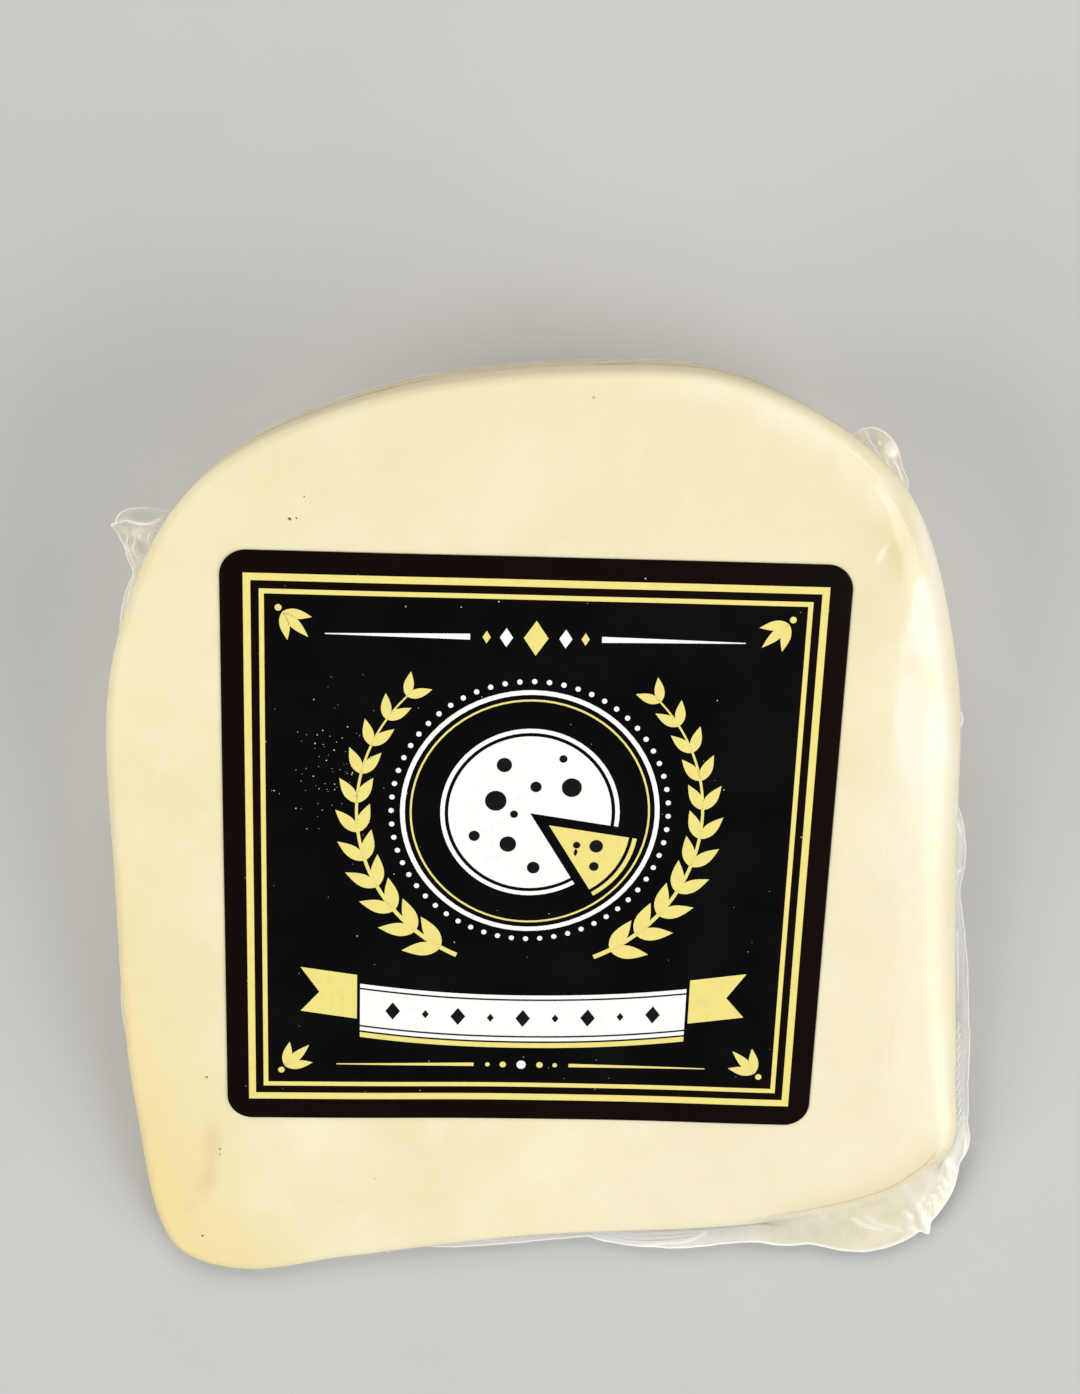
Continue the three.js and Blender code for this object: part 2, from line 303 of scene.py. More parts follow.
# Outline and surfaces of the wedge.
def fine_outline():
    """Closely spaced points of the smooth closed curve through the section, and their distances along it."""
    steps = 200
    ends = np.array(SECTION, float)
    t = np.arange(steps)[:, None] / steps
    parts = []
    for i in range(len(ends)):
        p0, p1, p2, p3 = (ends[(i + k) % len(ends)] for k in (-1, 0, 1, 2))
        gap0, gap1, gap2 = (np.linalg.norm(b - a) ** 0.5 for a, b in ((p0, p1), (p1, p2), (p2, p3)))
        start = ((p1 - p0) / gap0 - (p2 - p0) / (gap0 + gap1) + (p2 - p1) / gap1) * gap1
        end = ((p2 - p1) / gap1 - (p3 - p1) / (gap1 + gap2) + (p3 - p2) / gap2) * gap1
        cubic = 2 * p1 - 2 * p2 + start + end
        square = -3 * p1 + 3 * p2 - 2 * start - end
        parts.append(p1 + start * t + square * t**2 + cubic * t**3)
    points = np.vstack(parts + [ends[:1]])
    along = np.r_[0, np.cumsum(np.linalg.norm(np.diff(points, axis=0), axis=1))]
    return points, along


OUTLINE, OUTLINE_ALONG = fine_outline()
OUTLINE_LENGTH = OUTLINE_ALONG[-1]


def outline_place(along):
    """Points of the outline at distances along it."""
    wrapped = np.mod(along, OUTLINE_LENGTH)
    return np.stack([np.interp(wrapped, OUTLINE_ALONG, OUTLINE[:, k]) for k in (0, 1)], -1)


def on_wheel(across, outward, turn):
    """Points in millimetres, from places on the section and turns up from the lower face."""
    radius = LABEL_FROM_AXIS + outward
    return np.stack([across + 0 * radius, radius * np.cos(turn), radius * np.sin(turn)], -1)


class Stations:
    """Places round the wedge's outline, with what each needs to carry a slice of its surface."""

    def __init__(self, along):
        self.along = along
        self.place = outline_place(along)
        step = 0.4
        tangent = outline_place(along + step) - outline_place(along - step)
        tangent /= np.linalg.norm(tangent, axis=1)[:, None]
        self.outward = np.c_[tangent[:, 1], -tangent[:, 0]]
        self.half = (LABEL_FROM_AXIS + self.place[:, 1]) * math.sin(WEDGE_ANGLE / 2)
        rightward = np.clip(self.outward[:, 0], 0, 1)
        soft = EDGE_ROUND + (RIGHT_EDGE_ROUND - EDGE_ROUND) * rightward**2
        self.round = np.minimum(soft, THIN_EDGE_SHARE * self.half)

    def inset(self, distance):
        """Places on the section, moved in from the outline by the distance."""
        return self.place - self.outward * np.broadcast_to(distance, len(self.place))[:, None]

    def wall(self, out, up):
        """Points out from the outline and up from half height."""
        place = self.inset(-np.asarray(out))
        return on_wheel(place[:, 0], place[:, 1], WEDGE_ANGLE / 2 * (1 + up / self.half))


def mark(across, outward, x, y, length, width, turn):
    """A soft oval spot, 1 at its middle."""
    c, s = math.cos(math.radians(turn)), math.sin(math.radians(turn))
    lengthwise = ((across - x) * c + (outward - y) * s) / length
    crosswise = ((outward - y) * c - (across - x) * s) / width
    return np.exp(-(lengthwise**2) - crosswise**2)


def relief(across, outward, dented=1.0):
    """Height of the upper face over a plane: the dish, slow swells from cutting, and the pressed marks."""
    away = np.hypot(across, outward - DISH_OUTWARD) / DISH_RADIUS
    height = -DISH_DEPTH * np.exp(-(away**2))
    high, wide, long = SWELL
    height = height + high * np.sin(across / wide + 0.6) * np.sin(outward / long + 1.0)
    high, wide, long = SLANTED_SWELL
    height = height + high * np.sin(across / wide - outward / long)
    for x, y, depth, length, width, turn, _ in DENTS:
        height = height - dented * depth * mark(across, outward, x, y, length, width, turn)
    return height


def over_face(across, outward, lift, dented=1.0):
    """Points over the upper face, raised square to it."""
    normal = np.array([0, -math.sin(WEDGE_ANGLE), math.cos(WEDGE_ANGLE)])
    raised = lift + relief(across, outward, dented)
    return on_wheel(across, outward, WEDGE_ANGLE) + np.asarray(raised)[..., None] * normal


def label_point(u, v, lift):
    """Points over the label, from its own middle along its own sides."""
    c, s = math.cos(LABEL_TURN), math.sin(LABEL_TURN)
    return over_face(u * c - v * s, u * s + v * c + LABEL_SHIFT, lift, 0.0)


def rounded_square(side, corner, corner_steps=12, side_steps=40):
    """Outline of a square with rounded corners, anticlockwise."""
    reach = side / 2 - corner
    points = []
    for quarter in range(4):
        start = quarter * math.pi / 2
        turn = np.array([[math.cos(start), -math.sin(start)], [math.sin(start), math.cos(start)]])
        for step in range(corner_steps + 1):
            angle = step / corner_steps * math.pi / 2
            points.append(turn @ (reach + corner * math.cos(angle), reach + corner * math.sin(angle)))
        for step in range(1, side_steps):
            points.append(turn @ (reach - 2 * reach * step / side_steps, reach + corner))
    return np.array(points)


def wheel_origin():
    """Where the wheel's axis and the middle of the label across it lie in the row frame, in metres."""
    edge = rounded_square(LABEL_SIDE, LABEL_CORNER)
    points = label_point(edge[:, 0], edge[:, 1] - LABEL_SHIFT, CAD_LABEL_MIDDLE) * MM
    middle = (points.min(0) + points.max(0)) / 2
    low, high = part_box("label")
    cad_middle = (np.array(low) + np.array(high)) / 2
    return np.array([cad_middle[0] - middle[0], cad_middle[1] - middle[1], 0])


ORIGIN = wheel_origin()


# Meshes.
def to_row(points):
    """Millimetres on the wheel to metres in the row frame."""
    return np.asarray(points) * MM + ORIGIN


def put_in_scene(name, data):
    obj = bpy.data.objects.new(name, data)
    bpy.context.scene.collection.objects.link(obj)
    return obj


def add_object(name, points, faces, material, smooth=True):
    """A mesh object from points on the wheel."""
    mesh = bpy.data.meshes.new(name)
    mesh.from_pydata(to_row(points).tolist(), [], faces)
    mesh.materials.append(material)
    mesh.polygons.foreach_set("use_smooth", [smooth] * len(mesh.polygons))
    mesh.update()
    return put_in_scene(name, mesh)


def ring_faces(ring_count, count):
    """Faces of a closed surface of rings, with a point at each end."""
    i = np.arange(count)
    n = (i + 1) % count
    faces = np.stack([np.zeros(count, int), 1 + i, 1 + n], 1).tolist()
    for j in range(ring_count - 1):
        a = 1 + j * count
        b = a + count
        faces += np.stack([a + i, b + i, b + n, a + n], 1).tolist()
    last = 1 + (ring_count - 1) * count
    end = np.full(count, last + count)
    faces += np.stack([last + i, end, last + n], 1).tolist()
    return faces


def ring_object(name, rings, ends, material):
    """A closed surface through rings of points, with a point at each end."""
    rings = np.array(rings)
    points = np.vstack([ends[0][None], rings.reshape(-1, 3), ends[1][None]])
    return add_object(name, points, ring_faces(*rings.shape[:2]), material)


def set_attribute(obj, name, rings):
    """A value for each point of a ring surface, nought at its ends."""
    values = np.r_[0.0, np.asarray(rings, float).ravel(), 0.0]
    obj.data.attributes.new(name, "FLOAT", "POINT").data.foreach_set("value", values)


# Materials.
class NodeTree:
    """A material's nodes, added one call at a time."""

    def __init__(self, name):
        self.material = bpy.data.materials.new(name)
        self.material.use_nodes = True
        self.tree = self.material.node_tree
        self.tree.nodes.clear()
        self.output = self.tree.nodes.new("ShaderNodeOutputMaterial")

    def put(self, value, socket):
        if isinstance(value, bpy.types.NodeSocket):
            self.tree.links.new(value, socket)
        else:
            socket.default_value = value

    def add(self, kind, inputs=None, **settings):
        """A node, with its inputs set to values or linked to other sockets."""
        node = self.tree.nodes.new(kind)
        for key, value in settings.items():
            setattr(node, key, value)
        for key, value in (inputs or {}).items():
            self.put(value, node.inputs[key])
        return node

    def math(self, operation, *values):
        return self.add("ShaderNodeMath", dict(enumerate(values)), operation=operation).outputs[0]

    def place(self):
        return self.add("ShaderNodeTexCoord").outputs["Object"]

    def noise(self, scale, detail=2.0, roughness=0.5, stretch=None):
        """Noise by place on the part, with the scale in cells a metre."""
        vector = self.place()
        if stretch:
            vector = self.add("ShaderNodeMapping", {"Vector": vector, "Scale": stretch}).outputs[0]
        sizes = {"Vector": vector, "Scale": scale, "Detail": detail, "Roughness": roughness}
        return self.add("ShaderNodeTexNoise", sizes).outputs[0]

    def ramp(self, value, low, high, start=0.0, end=1.0):
        sizes = {"Value": value, "From Min": low, "From Max": high, "To Min": start, "To Max": end}
        return self.add("ShaderNodeMapRange", sizes, clamp=True).outputs[0]

    def attribute(self, name):
        return self.add("ShaderNodeAttribute", attribute_name=name).outputs["Fac"]

    def mix(self, factor, first, second):
        """A colour between two colours."""
        node = self.add("ShaderNodeMix", data_type="RGBA")
        for index, value in ((0, factor), (6, first), (7, second)):
            self.put(value, node.inputs[index])
        return node.outputs[2]

    def bump(self, height, distance, strength=1.0):
        sizes = {"Height": height, "Distance": distance, "Strength": strength}
        return self.add("ShaderNodeBump", sizes).outputs[0]

    def show(self, shader):
        self.tree.links.new(shader.outputs[0], self.output.inputs["Surface"])
        return self.material


def mottled_paste(t, fine):
    """Colour of the paste, in uneven pale yellows."""
    blotch = t.ramp(t.noise(75, 3), 0.35, 0.68)
    colour = t.mix(blotch, (0.83, 0.745, 0.49, 1), (0.875, 0.81, 0.59, 1))
    patch = t.ramp(t.noise(32, 2), 0.5, 0.72, 0.0, 0.5)
    colour = t.mix(patch, colour, (0.85, 0.745, 0.48, 1))
    fleck = t.ramp(t.noise(140, 3, 0.6), 0.54, 0.68, 0.0, 0.5)
    colour = t.mix(fleck, colour, (0.885, 0.83, 0.63, 1))
    return t.mix(t.math("MULTIPLY", fine, 0.18), colour, (0.80, 0.70, 0.43, 1))


def tone_and_painted_light_by_place(t, colour):
    """A colour made duller towards the rim, darker and yellower to the left and lower left, partly the
    paste's own tone and partly painted shade, and paler at the lower right, a painted highlight.
    """
    across, outward = t.add("ShaderNodeSeparateXYZ", {0: t.place()}).outputs[:2]
    low_left = t.math("MULTIPLY_ADD", outward, 0.4, across)
    low_right = t.math("MULTIPLY_ADD", outward, -0.6, across)
    # Painted shade darkens and yellows the left and lower left; a painted highlight pales the lower right.
    tints = (
        (t.ramp(outward, 0.012, 0.05, 0.0, 0.4), (0.80, 0.73, 0.505, 1)),
        (t.ramp(across, -0.025, -0.056, 0.0, 0.22), (0.855, 0.73, 0.40, 1)),
        (t.ramp(low_left, -0.055, -0.071, 0.0, 0.78), (0.85, 0.70, 0.33, 1)),
        (t.ramp(low_right, 0.028, 0.042, 0.0, 0.4), (0.845, 0.79, 0.635, 1)),
    )
    for share, tint in tints:
        colour = t.mix(share, colour, tint)
    return colour


def cheese_material():
    """Pale mottled paste, darker in places and in its pressed marks, with a tan rind on the rim, painted
    shade round the flap's cut edge and a painted highlight along the right side.
    """
    t = NodeTree("goat_gouda")
    fine = t.ramp(t.noise(420, 4, 0.6), 0.3, 0.75)
    colour = tone_and_painted_light_by_place(t, mottled_paste(t, fine))
    # Darker tan in the pressed marks, and painted shade round the cut edge under the flap.
    colour = t.mix(t.attribute("mark_tone_and_painted_shade"), colour, (0.70, 0.55, 0.27, 1))
    rind_grain = t.ramp(t.noise(240, 5, 0.65), 0.3, 0.7)
    rind = t.mix(rind_grain, (0.77, 0.61, 0.31, 1), (0.88, 0.74, 0.44, 1))
    colour = t.mix(t.attribute("rind"), colour, rind)
    # Painted highlight: a paler, streaked colour along the right side, its edge and its shoulder.
    streak = t.ramp(t.noise(150, 3, 0.55, (1, 0.4, 1)), 0.3, 0.62)
    colour = t.mix(t.math("MULTIPLY", t.attribute("pale"), streak), colour, (0.91, 0.86, 0.71, 1))
    grain = t.noise(1500, 3, 0.6)
    surface = t.add("ShaderNodeBsdfPrincipled", {
        "Base Color": colour,
        "Roughness": t.ramp(fine, 0, 1, 0.42, 0.55),
        "Specular IOR Level": 0.3,
        "Subsurface Weight": 0.2,
        "Subsurface Radius": (1.0, 0.7, 0.35),
        "Subsurface Scale": 0.0015,
        "Normal": t.bump(grain, 0.0001, 0.3),
    })
    return t.show(surface)


def film_material():
    """Clear glossy film that turns milky where it is creased or doubled."""
    t = NodeTree("clear_film")
    cloudy = t.ramp(t.noise(260, 3, 0.55), 0.34, 0.66, 0.9, 1.06)
    milky = t.math("MULTIPLY", t.attribute("milk"), cloudy)
    # The bloom is partly the film's haze and partly a painted highlight on its right side.
    bloom = t.ramp(t.noise(150, 3, 0.55, (1, 0.4, 1)), 0.36, 0.62)
    haze_and_highlight = t.math("MULTIPLY", t.attribute("haze_and_highlight"), bloom)
    total = t.math("ADD", t.math("ADD", milky, haze_and_highlight), t.attribute("bright_edge"))
    total = t.math("MINIMUM", total, 0.97)
    facing = t.add("ShaderNodeLayerWeight", {"Blend": 0.5}).outputs["Facing"]
    mirrored = t.math("MULTIPLY_ADD", t.math("POWER", facing, 5.0), 0.2, 0.03)
    clear = t.add("ShaderNodeBsdfTransparent", {"Color": (0.985, 0.985, 0.98, 1)})
    ripple = t.bump(t.noise(420, 2, 0.5), 0.0002, 0.2)
    gloss = t.add("ShaderNodeBsdfPrincipled", {
        "Base Color": (0.95, 0.95, 0.95, 1),
        "Metallic": 1.0,
        "Roughness": t.ramp(t.attribute("haze_and_highlight"), 0.0, 0.06, 0.14, 0.36),
        "Normal": ripple,
    })
    bare = t.add("ShaderNodeMixShader", {0: mirrored, 1: clear.outputs[0], 2: gloss.outputs[0]})
    plain = t.math("SUBTRACT", 1.0, t.math("MINIMUM", t.attribute("bright_edge"), 1.0))
    cream = t.math("MULTIPLY", t.attribute("cream"), plain)
    body = t.mix(cream, (0.94, 0.94, 0.93, 1), (0.775, 0.73, 0.55, 1))
    # Where the tan attribute is set, the cloud's colour is painted shade along the flap's cut edge.
    cloud = t.add("ShaderNodeBsdfPrincipled", {
        "Base Color": t.mix(t.attribute("tan"), body, (0.80, 0.70, 0.43, 1)),
        "Roughness": 0.2,
        "Normal": ripple,
    })
    surface = t.add("ShaderNodeMixShader", {0: total, 1: bare.outputs[0], 2: cloud.outputs[0]})
    return t.show(surface)


def fold_material(name, colour, roughness, scale, broken, cover):
    """Strips along sharp folds of the film, white for creases and brown for painted shade, broken up along
    their length by noise.
    """
    t = NodeTree(name)
    clear = t.add("ShaderNodeBsdfTransparent")
    body = t.add("ShaderNodeBsdfPrincipled", {"Base Color": colour, "Roughness": roughness})
    strength = t.ramp(t.noise(scale, 3, 0.6), *broken, *cover)
    return t.show(t.add("ShaderNodeMixShader", {0: strength, 1: clear.outputs[0], 2: body.outputs[0]}))


def label_material():
    """Printed black with a satin varnish, faint smears and a warmer margin."""
    t = NodeTree("label_black")
    smear = t.ramp(t.noise(90, 4, 0.6), 0.4, 0.75)
    colour = t.mix(smear, (0.0012, 0.0012, 0.0012, 1), (0.0026, 0.0026, 0.0028, 1))
    colour = t.mix(t.attribute("margin"), colour, (0.0044, 0.0016, 0.0004, 1))
    surface = t.add("ShaderNodeBsdfPrincipled", {
        "Base Color": colour,
        "Roughness": t.ramp(smear, 0, 1, 0.2, 0.3),
        "Specular IOR Level": 0.15,
        "Normal": t.bump(t.noise(2600, 2), 0.00005, 0.1),
    })
    return t.show(surface)


def ink_material(name, light, dark):
    """Printed ink, a little uneven."""
    t = NodeTree(name)
    uneven = t.ramp(t.noise(900, 4, 0.7), 0.4, 0.75)
    surface = t.add("ShaderNodeBsdfPrincipled", {
        "Base Color": t.mix(uneven, light, dark),
        "Roughness": t.ramp(uneven, 0, 1, 0.36, 0.5),
        "Specular IOR Level": 0.3,
    })
    return t.show(surface)


def mottled_material(name, light, dark, scale, detail, roughness, specular=0.5):
    """A matt surface of two mottled colours."""
    t = NodeTree(name)
    surface = t.add("ShaderNodeBsdfPrincipled", {
        "Base Color": t.mix(t.noise(scale, detail), light, dark),
        "Roughness": roughness,
        "Specular IOR Level": specular,
    })
    return t.show(surface)


def speck_material(name, light, dark):
    return mottled_material(name, light, dark, 3000, 2, 0.7)


def floor_material():
    return mottled_material("pale_floor", (0.50, 0.50, 0.50, 1), (0.53, 0.53, 0.53, 1), 40, 3, 0.85, 0.15)


# Cheese.
def sunk_face(place, side, gap, dented):
    """Points of the upper or the lower cut face, sunk by the gap."""
    if side > 0:
        return over_face(place[:, 0], place[:, 1], -gap, dented)
    return on_wheel(place[:, 0], place[:, 1], 0.0) + (0, 0, gap)


def face_middles(gap):
    """The middles of the upper and the lower cut face, sunk by the gap."""
    return [over_face(np.zeros(1), np.zeros(1), -gap)[0], np.array([0, LABEL_FROM_AXIS, gap])]


def face_rings(st, side, shares, gap, dented):
    """Rings of a cut face out to the start of its rounded edge, sunk by the gap."""
    return [sunk_face(st.inset(st.round + gap) * share, side, gap, dented) for share in shares]


def edge_rings(st, side, steps, gap, dented, free=None):
    """Rings round a cut edge, which start at the relief of the face and lose it on the way.

    Free film may be stretched straight out from the edge.
    """
    start = sunk_face(st.inset(st.round + gap), side, gap, dented)
    off = start - st.wall(-st.round - gap, side * (st.half - gap))
    rings = []
    for turn in np.linspace(0, math.pi / 2, steps + 1)[1:]:
        out = -gap - st.round * (1 - math.sin(turn))
        up = st.half - gap - st.round * (1 - math.cos(turn))
        if free and turn > TENT_TURN:
            out, up = free.stretched(out, up, TENT_EDGE * (turn - TENT_TURN) / (math.pi / 2 - TENT_TURN))
        rings.append(st.wall(out, side * up) + off * math.cos(turn) ** 2)
    return rings


def smooth_step(value, low, high):
    """0 up to the low value, 1 from the high one on, and a smooth rise between them."""
    t = np.clip((value - low) / (high - low), 0, 1)
    return t * t * (3 - 2 * t)


def between(value, low, low_full, high_full, high):
    """1 from one full value to the other, with a smooth rise before and a smooth fall after."""
    return smooth_step(value, low, low_full) * (1 - smooth_step(value, high_full, high))


def rind_tone(st):
    """How much rind a wall has: all on the rim, a little on the sides, hardly any on the thin edge."""
    rim = smooth_step(st.outward[:, 1], 0.0, 0.65)
    side = 0.1 * smooth_step(np.abs(st.outward[:, 0]), 0.4, 0.9)
    return np.maximum(rim, side) * smooth_step(st.half, 2.0, 8.0)


def face_place(rings):
    """Across and outward places of points."""
    return rings[..., 0], np.hypot(rings[..., 1], rings[..., 2]) - LABEL_FROM_AXIS


def above_half(points, times=1.0):
    """Whether points lie over a number of times half the wedge's height."""
    return points[..., 2] > math.tan(WEDGE_ANGLE / 2) * points[..., 1] * times


def dark_marks_and_edge_shade(st, rings, near_edge):
    """Darker tone in and beside the pressed marks, and painted shade round the cut edge under the loose film
    of the right corner.
    """
    across, outward = face_place(rings)
    mark_tone_and_painted_shade = np.zeros(across.shape)
    for x, y, _, length, width, turn, tone in DENTS:
        mark_tone_and_painted_shade += tone * mark(across, outward, x, y, length * 1.2, width * 1.4, turn)
    # Painted shade round the cut edge under the flap's film.
    mark_tone_and_painted_shade += 0.32 * near_edge * between(st.along, *FLAP_EDGE_SHADE_ON_CHEESE)
    return np.clip(mark_tone_and_painted_shade, 0, 1) * above_half(rings)


def painted_highlight_band(rings):
    """A painted highlight band along the right side of the upper face, weaker and wider towards the thin
    edge.
    """
    across, outward = face_place(rings)
    lower = 1 - smooth_step(outward, 4, 16)
    top = smooth_step(outward, 24, 36)
    start, end = (at + by_rim * top + by_thin * lower for at, by_rim, by_thin in (HIGHLIGHT_BAND_START, HIGHLIGHT_BAND_END))
    start_blur = 0.7 + 1.0 * lower
    end_blur = 1.2
    band = between(across, start - start_blur, start + start_blur, end - end_blur, end + end_blur)
    return (0.42 + 0.93 * (1 - lower)) * band * between(outward, *HIGHLIGHT_BAND_OUTWARD)


def ring_tone(face=0.0, edge=0.0, wall=0.0, low_edge=0.0):
    """A tone for each ring of the cheese, from its upper face round to its lower one, which has none."""
    tones = (face, edge, wall, low_edge, 0.0)
    groups = (TOP_SHARES, EDGE_TURNS, WALL_LEVELS, EDGE_TURNS, LOW_SHARES)
    return np.concatenate([np.broadcast_to(tone, len(group)) for tone, group in zip(tones, groups)])[:, None]


def cheese_tones(st, rings):
    """How much rind, darker tone with painted shade, and painted highlight the cheese has at each point."""
    wall_rind = 0.15 + 0.85 * smooth_step(1 - np.abs(WALL_LEVELS), 0.0, 0.36)
    rind = ring_tone(0.0, 0.15 * EDGE_TURNS**2, wall_rind, 0.15 * EDGE_TURNS[::-1] ** 2)
    near_edge = ring_tone(0.85 * smooth_step(TOP_SHARES, 0.955, 1), 0.85 + 0.15 * EDGE_TURNS, 1.0)
    flat = ring_tone(1.0, 1 - smooth_step(EDGE_TURNS, 0.35, 0.8))
    rounding = ring_tone(0.0, smooth_step(EDGE_TURNS, 0.25, 0.6), smooth_step(WALL_LEVELS, 0.3, 1))
    # Painted highlight on the right shoulder and on the right edge's rounding.
    shoulder = between(st.along, *RIGHT_SHOULDER)
    right_edge = between(st.along, *RIGHT_EDGE)
    pale = flat * np.maximum(painted_highlight_band(rings), 0.7 * near_edge * shoulder)
    return {
        "rind": rind * rind_tone(st),
        "mark_tone_and_painted_shade": dark_marks_and_edge_shade(st, rings, near_edge),
        "pale": np.maximum(pale, rounding * right_edge),
    }


def build_cheese():
    """The cheese, a small gap inside the film."""
    st = Stations(np.linspace(0, OUTLINE_LENGTH, CHEESE_STATIONS, endpoint=False))
    upper = face_rings(st, 1, TOP_SHARES, FILM_GAP, 1.0) + edge_rings(st, 1, EDGE_STEPS, FILM_GAP, 1.0)
    lower = face_rings(st, -1, LOW_SHARES, FILM_GAP, 1.0) + edge_rings(st, -1, EDGE_STEPS, FILM_GAP, 1.0)
    height = st.half - FILM_GAP - st.round
    inside = np.full(len(height), -FILM_GAP)
    wall = [st.wall(inside, height * level) for level in WALL_LEVELS]
    rings = np.array(upper + wall + lower[::-1])
    cheese = ring_object("cheese", rings, face_middles(FILM_GAP), cheese_material())
    for name, tone in cheese_tones(st, rings).items():
        set_attribute(cheese, name, tone)
    return cheese


def build_specks():
    """Dark specks that lie on the cheese, as low domes."""
    points = []
    faces = []
    steps = 10
    turns = np.arange(steps) / steps * 2 * math.pi
    for across, outward, radius in SPECKS:
        first = len(points)
        uneven = radius * (1 + 0.25 * np.sin(turns * 2 + across) + 0.12 * np.sin(turns * 3 + outward))
        for share, lift in ((1.0, -0.02), (0.6, 0.05)):
            x = across + uneven * share * np.cos(turns)
            y = outward + uneven * share * np.sin(turns)
            points += over_face(x, y, lift - FILM_GAP).tolist()
        points.append(over_face(np.array([across]), np.array([outward]), 0.07 - FILM_GAP)[0].tolist())
        for i in range(steps):
            n = (i + 1) % steps
            faces.append((first + i, first + n, first + steps + n, first + steps + i))
            faces.append((first + steps + i, first + steps + n, first + 2 * steps))
    material = speck_material("dark_speck", (0.10, 0.075, 0.03, 1), (0.20, 0.15, 0.07, 1))
    return add_object("cheese_specks", points, faces, material)


# Film.
def film_reach(along):
    """How far the free film stands out from the outline, and how milky and creamy it is there."""
    reach = np.full(len(along), SEAM_REACH**EDGE_BLEND)
    milk = np.zeros(len(along))
    cream = np.zeros(len(along))
    weight = np.full(len(along), 1e-6)  # not nought, as it divides
    for at, side, most, taper, milkiness, creaminess in FILM_EDGES:
        off = np.clip(np.abs(along - at) / side, 0, 1)
        stand = most * np.cos(off * math.pi / 2) ** taper
        reach += stand**EDGE_BLEND
        milk += milkiness * stand**3
        cream += creaminess * stand**3
        weight += stand**3
    ragged = 0.04 * np.sin(along / 1.7) + 0.03 * np.sin(along / 0.8 + 2) + 0.02 * np.sin(along / 0.45 + 4)
    reach = reach ** (1 / EDGE_BLEND)
    return reach + ragged * np.clip(reach / 3, 0, 1), milk / weight, cream / weight


def film_stations():
    """Distances along the outline, closer together where free film stands out."""
    fine = np.linspace(0, OUTLINE_LENGTH, 4001)
    reach = film_reach(fine)[0]
    spacing = np.where(reach > FILM_FINE_REACH, FILM_FINE, FILM_COARSE)
    count_to = np.r_[0, np.cumsum(np.diff(fine) / spacing[:-1])]
    count = int(count_to[-1])
    return np.interp(np.arange(count) * count_to[-1] / count, count_to, fine)


def twist_creases():
    """Short slanting folds, one for each turn of the twisted fold."""
    inner, outer = TWIST_OUT
    return [(0.5, ((at, inner), (at + TWIST_PITCH * 0.8, outer)))
            for at in np.arange(TWIST_START, TWIST_END, TWIST_PITCH)]


def bubble_crease():
    along, out, radius = FILM_BUBBLE
    turns = np.linspace(0, 2 * math.pi, 13)
    return 0.5, tuple(zip(along + radius * np.cos(turns), out + radius * np.sin(turns)))


ALL_CREASES = FILM_CREASES + twist_creases() + [bubble_crease()]


def line_distance(along, out, line):
    """Distance from places on the free film to a line of points."""
    nearest = np.full(np.shape(along), np.inf)
    for (a0, o0), (a1, o1) in zip(line, line[1:]):
        length = (a1 - a0) ** 2 + (o1 - o0) ** 2
        share = np.clip(((along - a0) * (a1 - a0) + (out - o0) * (o1 - o0)) / length, 0, 1)
        nearest = np.minimum(nearest, np.hypot(along - a0 - share * (a1 - a0), out - o0 - share * (o1 - o0)))
    return nearest


def crease_field(along, out):
    """How strongly the free film is creased."""
    field = np.zeros(np.shape(along))
    for strength, line in ALL_CREASES:
        field = np.maximum(field, strength * np.exp(-((line_distance(along, out, line) / CREASE_WIDTH) ** 2)))
    return field


def spot_fields(along, out):
    """Milkiness and height that the spots of the free film add."""
    milk = np.zeros(np.shape(along))
    height = np.zeros(np.shape(along))
    for at, away, length, width, turn, milkiness, high in FILM_SPOTS:
        spot = mark(along, out, at, away, length, width, turn)
        milk += milkiness * spot
        height += high * spot
    return milk, height


class Wrinkles:
    """Ridges of gathered film that run up a wall from the seam towards the cut edge."""

    def __init__(self, count):
        self.at = draws.uniform(0, OUTLINE_LENGTH, count)
        self.slant = draws.normal(0, 2.5, count)
        self.top = draws.uniform(0.25, 1.0, count)
        self.width = draws.uniform(0.4, 0.9, count)
        self.height = draws.uniform(0.05, 0.26, count)

    def out(self, along, level):
        """How far the film stands off the wall at a level, 0 at the seam and 1 at the cut edge."""
        off = along[:, None] - self.at - self.slant * level
        off = (off + OUTLINE_LENGTH / 2) % OUTLINE_LENGTH - OUTLINE_LENGTH / 2
        fade = np.clip(1 - level / self.top, 0, 1) ** 0.7
        return (self.height * fade * np.exp(-((off / self.width) ** 2))).sum(1)


class Ripples:
    """Slow uneven waves of the tight film, in lines that run mostly outward."""

    def __init__(self, count):
        turn = draws.normal(0, 0.45, count)
        number = 2 * math.pi / draws.uniform(2.6, 8.0, count)
        self.across = number * np.cos(turn)
        self.outward = number * np.sin(turn)
        self.phase = draws.uniform(0, 2 * math.pi, count)

    def height(self, across, outward):
        """Height between about -1 and 1."""
        waves = np.sin(across[..., None] * self.across + outward[..., None] * self.outward + self.phase)
        return waves.sum(-1) / math.sqrt(len(self.phase))


def right_side(across, outward, start):
    """1 on the right side of the upper face, from a distance across on."""
    return smooth_step(across, start, start + LOOSE_FILM_FADE) * between(outward, *LOOSE_FILM)


def film_haze_and_highlight(rings):
    """Whitish bloom of the film along the right side of the upper face: partly its haze, partly a painted
    highlight.
    """
    across, outward = face_place(rings)
    fade = 0.5 + 0.5 * smooth_step(outward, *HAZE_AND_HIGHLIGHT_FADE)
    return HAZE_AND_HIGHLIGHT * fade * right_side(across, outward, HAZE_AND_HIGHLIGHT_START)


